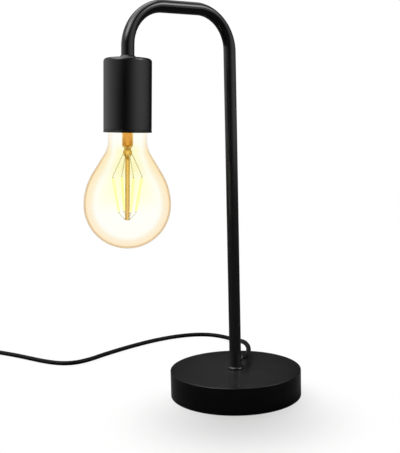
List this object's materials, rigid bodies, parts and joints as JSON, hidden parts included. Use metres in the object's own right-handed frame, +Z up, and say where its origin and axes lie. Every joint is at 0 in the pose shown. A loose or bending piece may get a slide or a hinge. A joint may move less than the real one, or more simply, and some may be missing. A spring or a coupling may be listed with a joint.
{
  "type": "table lamp",
  "caption": "Black table lamp: a weighted round base, a bent tube arm, a cup lampholder with a clear amber filament bulb, and a cord with a rocker switch and a plug.",
  "frame": {"origin": "middle of the base's underside, on the table", "axes": "+Z up along the stem, -X along the arm towards the bulb, +Y to the side where the cord is put away"},
  "size_m": [0.3715, 0.3701, 0.3513],
  "materials": {
    "black_metal": "satin black paint",
    "weight_iron": "rough cast",
    "zinc_steel": "zinc plated",
    "pad_foam": "matt foam",
    "holder_plastic": "moulded",
    "holder_ceramic": "unglazed",
    "switch_plastic": "satin moulded",
    "cord_sheath": "smooth sheath",
    "brown_wire": "wire insulation",
    "blue_wire": "wire insulation",
    "contact_brass": "plain",
    "plated_pin": "nickel plated",
    "cap_metal": "plain",
    "cap_insulator": "black glass",
    "amber_glass": "clear amber",
    "filament_coat": "yellow coating, lit",
    "board": "printed board"
  },
  "bodies": {
    "lamp": {"base_plate": "zinc_steel", "base_plate_screws": "zinc_steel", "base_shell": "black_metal", "base_weight": "weight_iron", "case_screws": "zinc_steel", "centre_contact": "contact_brass", "clamp_screws": "zinc_steel", "coil_tie": "switch_plastic", "cord_bushing": "switch_plastic", "cord_clamps": "zinc_steel", "cord_coil": "cord_sheath", "cup_collar": "black_metal", "cup_nut": "zinc_steel", "fixed_contacts": "contact_brass", "foot_pad": "pad_foam", "holder_cap": "holder_plastic", "holder_insert": "holder_ceramic", "holder_skirt": "holder_plastic", "lamp_cord": "cord_sheath", "live_wire": "brown_wire", "neutral_wire": "blue_wire", "pin_sleeves": "switch_plastic", "plug_body": "switch_plastic", "plug_lead": "cord_sheath", "plug_pins": "plated_pin", "rocker_pin": "zinc_steel", "screw_shell": "contact_brass", "socket_cup": "black_metal", "stem_collar": "black_metal", "stem_lock_washer": "zinc_steel", "stem_nut": "zinc_steel", "stem_tube": "black_metal", "stem_washer": "zinc_steel", "switch_base": "switch_plastic", "switch_cover": "switch_plastic", "switch_lead": "cord_sheath", "switch_terminal_screws": "contact_brass", "switch_wires": "brown_wire", "terminal_screws": "contact_brass"},
    "bulb_carrier": {"bulb_contact": "cap_metal"},
    "bulb": {"bulb_insulator": "cap_insulator", "bulb_cap": "cap_metal", "driver_board": "board", "bulb_glass": "amber_glass", "bulb_mount": "amber_glass", "lead_wires": "zinc_steel", "filaments": "filament_coat", "filament_hooks": "zinc_steel"},
    "rocker": {"rocker": "switch_plastic", "rocker_plunger": "switch_plastic", "plunger_spring": "zinc_steel"},
    "seesaw": {"seesaw_contact": "contact_brass"}
  },
  "joints": [
    {"name": "bulb_lower", "type": "slide", "parent": "lamp", "child": "bulb_carrier", "axis": [-0.0419, 0, -0.9991], "range_m": [0, 0.01815]},
    {"name": "bulb_turn", "type": "hinge", "parent": "bulb_carrier", "child": "bulb", "pos_m": [-0.10323, 0, 0.30224], "axis": [-0.0419, 0, -0.9991], "range_deg": [0, 1800]},
    {"name": "rocker_tip", "type": "hinge", "parent": "lamp", "child": "rocker", "pos_m": [-0.182, 0.231, 0.012], "axis": [-1, 0, 0], "range_deg": [0, 13]},
    {"name": "seesaw_tip", "type": "hinge", "parent": "lamp", "child": "seesaw", "pos_m": [-0.182, 0.231, 0.0042], "axis": [-1, 0, 0], "range_deg": [-13, 0]}
  ],
  "couplings": [
    {"joint": "bulb_lower", "follows": "bulb_turn", "m_per_rad": 0.00057757},
    {"joint": "seesaw_tip", "follows": "rocker_tip", "ratio": -1}
  ]
}
